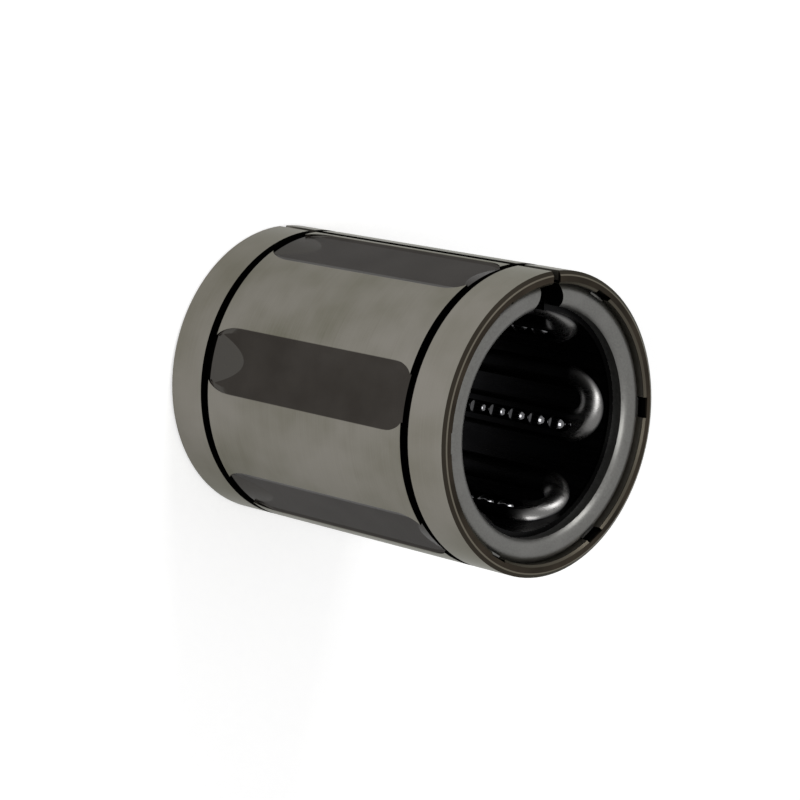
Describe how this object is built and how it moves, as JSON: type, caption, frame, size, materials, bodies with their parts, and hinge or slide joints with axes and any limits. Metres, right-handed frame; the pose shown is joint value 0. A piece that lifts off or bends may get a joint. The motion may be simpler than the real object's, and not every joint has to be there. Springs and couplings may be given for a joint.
{
  "type": "adjustable linear ball bushing",
  "caption": "Slit steel sleeve with recirculating balls in a pressed cage, guiding a round shaft along its axis in an adjustable housing bore.",
  "frame": {"origin": "centre of the shaft way at mid-length", "axes": "+Z along the shaft way towards the front end, +Y towards the slit"},
  "size_m": [0.062, 0.062, 0.08],
  "materials": {
    "sleeve_steel": "ground hardened bearing steel",
    "cage_steel": "blackened pressed steel sheet",
    "ring_steel": "satin rolled steel",
    "ball_steel": "polished bearing steel"
  },
  "bodies": {
    "bushing": {"outer_sleeve": "sleeve_steel", "ball_cage": "cage_steel", "front_end_ring": "ring_steel", "rear_end_ring": "ring_steel"},
    "loaded_row_1": {"loaded_row_1": "ball_steel"},
    "return_row_1": {"return_row_1": "ball_steel"},
    "front_turn_1": {"front_turn_1": "ball_steel"},
    "rear_turn_1": {"rear_turn_1": "ball_steel"},
    "loaded_row_2": {"loaded_row_2": "ball_steel"},
    "return_row_2": {"return_row_2": "ball_steel"},
    "front_turn_2": {"front_turn_2": "ball_steel"},
    "rear_turn_2": {"rear_turn_2": "ball_steel"},
    "loaded_row_3": {"loaded_row_3": "ball_steel"},
    "return_row_3": {"return_row_3": "ball_steel"},
    "front_turn_3": {"front_turn_3": "ball_steel"},
    "rear_turn_3": {"rear_turn_3": "ball_steel"},
    "loaded_row_4": {"loaded_row_4": "ball_steel"},
    "return_row_4": {"return_row_4": "ball_steel"},
    "front_turn_4": {"front_turn_4": "ball_steel"},
    "rear_turn_4": {"rear_turn_4": "ball_steel"},
    "loaded_row_5": {"loaded_row_5": "ball_steel"},
    "return_row_5": {"return_row_5": "ball_steel"},
    "front_turn_5": {"front_turn_5": "ball_steel"},
    "rear_turn_5": {"rear_turn_5": "ball_steel"},
    "loaded_row_6": {"loaded_row_6": "ball_steel"},
    "return_row_6": {"return_row_6": "ball_steel"},
    "front_turn_6": {"front_turn_6": "ball_steel"},
    "rear_turn_6": {"rear_turn_6": "ball_steel"}
  },
  "joints": [
    {"name": "loaded_row_1_travel", "type": "slide", "parent": "bushing", "child": "loaded_row_1", "axis": [0, 0, 1], "range_m": [-0.0028, 0.0028]},
    {"name": "return_row_1_travel", "type": "slide", "parent": "bushing", "child": "return_row_1", "axis": [0, 0, 1], "range_m": [-0.00281, 0.00281]},
    {"name": "front_turn_1_roll", "type": "hinge", "parent": "bushing", "child": "front_turn_1", "pos_m": [-0.01164, 0.01978, 0.02529], "axis": [-0.3642, 0.8993, -0.2419], "range_deg": [-30, 30]},
    {"name": "rear_turn_1_roll", "type": "hinge", "parent": "bushing", "child": "rear_turn_1", "pos_m": [-0.01164, 0.01978, -0.02529], "axis": [-0.3642, 0.8993, 0.2419], "range_deg": [-30, 30]},
    {"name": "loaded_row_2_travel", "type": "slide", "parent": "bushing", "child": "loaded_row_2", "axis": [0, 0, 1], "range_m": [-0.0028, 0.0028]},
    {"name": "return_row_2_travel", "type": "slide", "parent": "bushing", "child": "return_row_2", "axis": [0, 0, 1], "range_m": [-0.00281, 0.00281]},
    {"name": "front_turn_2_roll", "type": "hinge", "parent": "bushing", "child": "front_turn_2", "pos_m": [-0.02295, -0.00019, 0.02529], "axis": [-0.961, 0.1342, -0.2419], "range_deg": [-30, 30]},
    {"name": "rear_turn_2_roll", "type": "hinge", "parent": "bushing", "child": "rear_turn_2", "pos_m": [-0.02295, -0.00019, -0.02529], "axis": [-0.961, 0.1342, 0.2419], "range_deg": [-30, 30]},
    {"name": "loaded_row_3_travel", "type": "slide", "parent": "bushing", "child": "loaded_row_3", "axis": [0, 0, 1], "range_m": [-0.0028, 0.0028]},
    {"name": "return_row_3_travel", "type": "slide", "parent": "bushing", "child": "return_row_3", "axis": [0, 0, 1], "range_m": [-0.00281, 0.00281]},
    {"name": "front_turn_3_roll", "type": "hinge", "parent": "bushing", "child": "front_turn_3", "pos_m": [-0.01131, -0.01997, 0.02529], "axis": [-0.5967, -0.7651, -0.2419], "range_deg": [-30, 30]},
    {"name": "rear_turn_3_roll", "type": "hinge", "parent": "bushing", "child": "rear_turn_3", "pos_m": [-0.01131, -0.01997, -0.02529], "axis": [-0.5967, -0.7651, 0.2419], "range_deg": [-30, 30]},
    {"name": "loaded_row_4_travel", "type": "slide", "parent": "bushing", "child": "loaded_row_4", "axis": [0, 0, 1], "range_m": [-0.0028, 0.0028]},
    {"name": "return_row_4_travel", "type": "slide", "parent": "bushing", "child": "return_row_4", "axis": [0, 0, 1], "range_m": [-0.00281, 0.00281]},
    {"name": "front_turn_4_roll", "type": "hinge", "parent": "bushing", "child": "front_turn_4", "pos_m": [0.01164, -0.01978, 0.02529], "axis": [0.3642, -0.8993, -0.2419], "range_deg": [-30, 30]},
    {"name": "rear_turn_4_roll", "type": "hinge", "parent": "bushing", "child": "rear_turn_4", "pos_m": [0.01164, -0.01978, -0.02529], "axis": [0.3642, -0.8993, 0.2419], "range_deg": [-30, 30]},
    {"name": "loaded_row_5_travel", "type": "slide", "parent": "bushing", "child": "loaded_row_5", "axis": [0, 0, 1], "range_m": [-0.0028, 0.0028]},
    {"name": "return_row_5_travel", "type": "slide", "parent": "bushing", "child": "return_row_5", "axis": [0, 0, 1], "range_m": [-0.00281, 0.00281]},
    {"name": "front_turn_5_roll", "type": "hinge", "parent": "bushing", "child": "front_turn_5", "pos_m": [0.02295, 0.00019, 0.02529], "axis": [0.961, -0.1342, -0.2419], "range_deg": [-30, 30]},
    {"name": "rear_turn_5_roll", "type": "hinge", "parent": "bushing", "child": "rear_turn_5", "pos_m": [0.02295, 0.00019, -0.02529], "axis": [0.961, -0.1342, 0.2419], "range_deg": [-30, 30]},
    {"name": "loaded_row_6_travel", "type": "slide", "parent": "bushing", "child": "loaded_row_6", "axis": [0, 0, 1], "range_m": [-0.0028, 0.0028]},
    {"name": "return_row_6_travel", "type": "slide", "parent": "bushing", "child": "return_row_6", "axis": [0, 0, 1], "range_m": [-0.00281, 0.00281]},
    {"name": "front_turn_6_roll", "type": "hinge", "parent": "bushing", "child": "front_turn_6", "pos_m": [0.01131, 0.01997, 0.02529], "axis": [0.5967, 0.7651, -0.2419], "range_deg": [-30, 30]},
    {"name": "rear_turn_6_roll", "type": "hinge", "parent": "bushing", "child": "rear_turn_6", "pos_m": [0.01131, 0.01997, -0.02529], "axis": [0.5967, 0.7651, 0.2419], "range_deg": [-30, 30]}
  ],
  "couplings": [
    {"joint": "return_row_1_travel", "follows": "loaded_row_1_travel", "ratio": -1},
    {"joint": "front_turn_1_roll", "follows": "loaded_row_1_travel", "rad_per_m": -186.33},
    {"joint": "rear_turn_1_roll", "follows": "loaded_row_1_travel", "rad_per_m": -186.33},
    {"joint": "return_row_2_travel", "follows": "loaded_row_2_travel", "ratio": -1},
    {"joint": "front_turn_2_roll", "follows": "loaded_row_2_travel", "rad_per_m": -186.33},
    {"joint": "rear_turn_2_roll", "follows": "loaded_row_2_travel", "rad_per_m": -186.33},
    {"joint": "return_row_3_travel", "follows": "loaded_row_3_travel", "ratio": -1},
    {"joint": "front_turn_3_roll", "follows": "loaded_row_3_travel", "rad_per_m": -186.33},
    {"joint": "rear_turn_3_roll", "follows": "loaded_row_3_travel", "rad_per_m": -186.33},
    {"joint": "return_row_4_travel", "follows": "loaded_row_4_travel", "ratio": -1},
    {"joint": "front_turn_4_roll", "follows": "loaded_row_4_travel", "rad_per_m": -186.33},
    {"joint": "rear_turn_4_roll", "follows": "loaded_row_4_travel", "rad_per_m": -186.33},
    {"joint": "return_row_5_travel", "follows": "loaded_row_5_travel", "ratio": -1},
    {"joint": "front_turn_5_roll", "follows": "loaded_row_5_travel", "rad_per_m": -186.33},
    {"joint": "rear_turn_5_roll", "follows": "loaded_row_5_travel", "rad_per_m": -186.33},
    {"joint": "return_row_6_travel", "follows": "loaded_row_6_travel", "ratio": -1},
    {"joint": "front_turn_6_roll", "follows": "loaded_row_6_travel", "rad_per_m": -186.33},
    {"joint": "rear_turn_6_roll", "follows": "loaded_row_6_travel", "rad_per_m": -186.33}
  ]
}
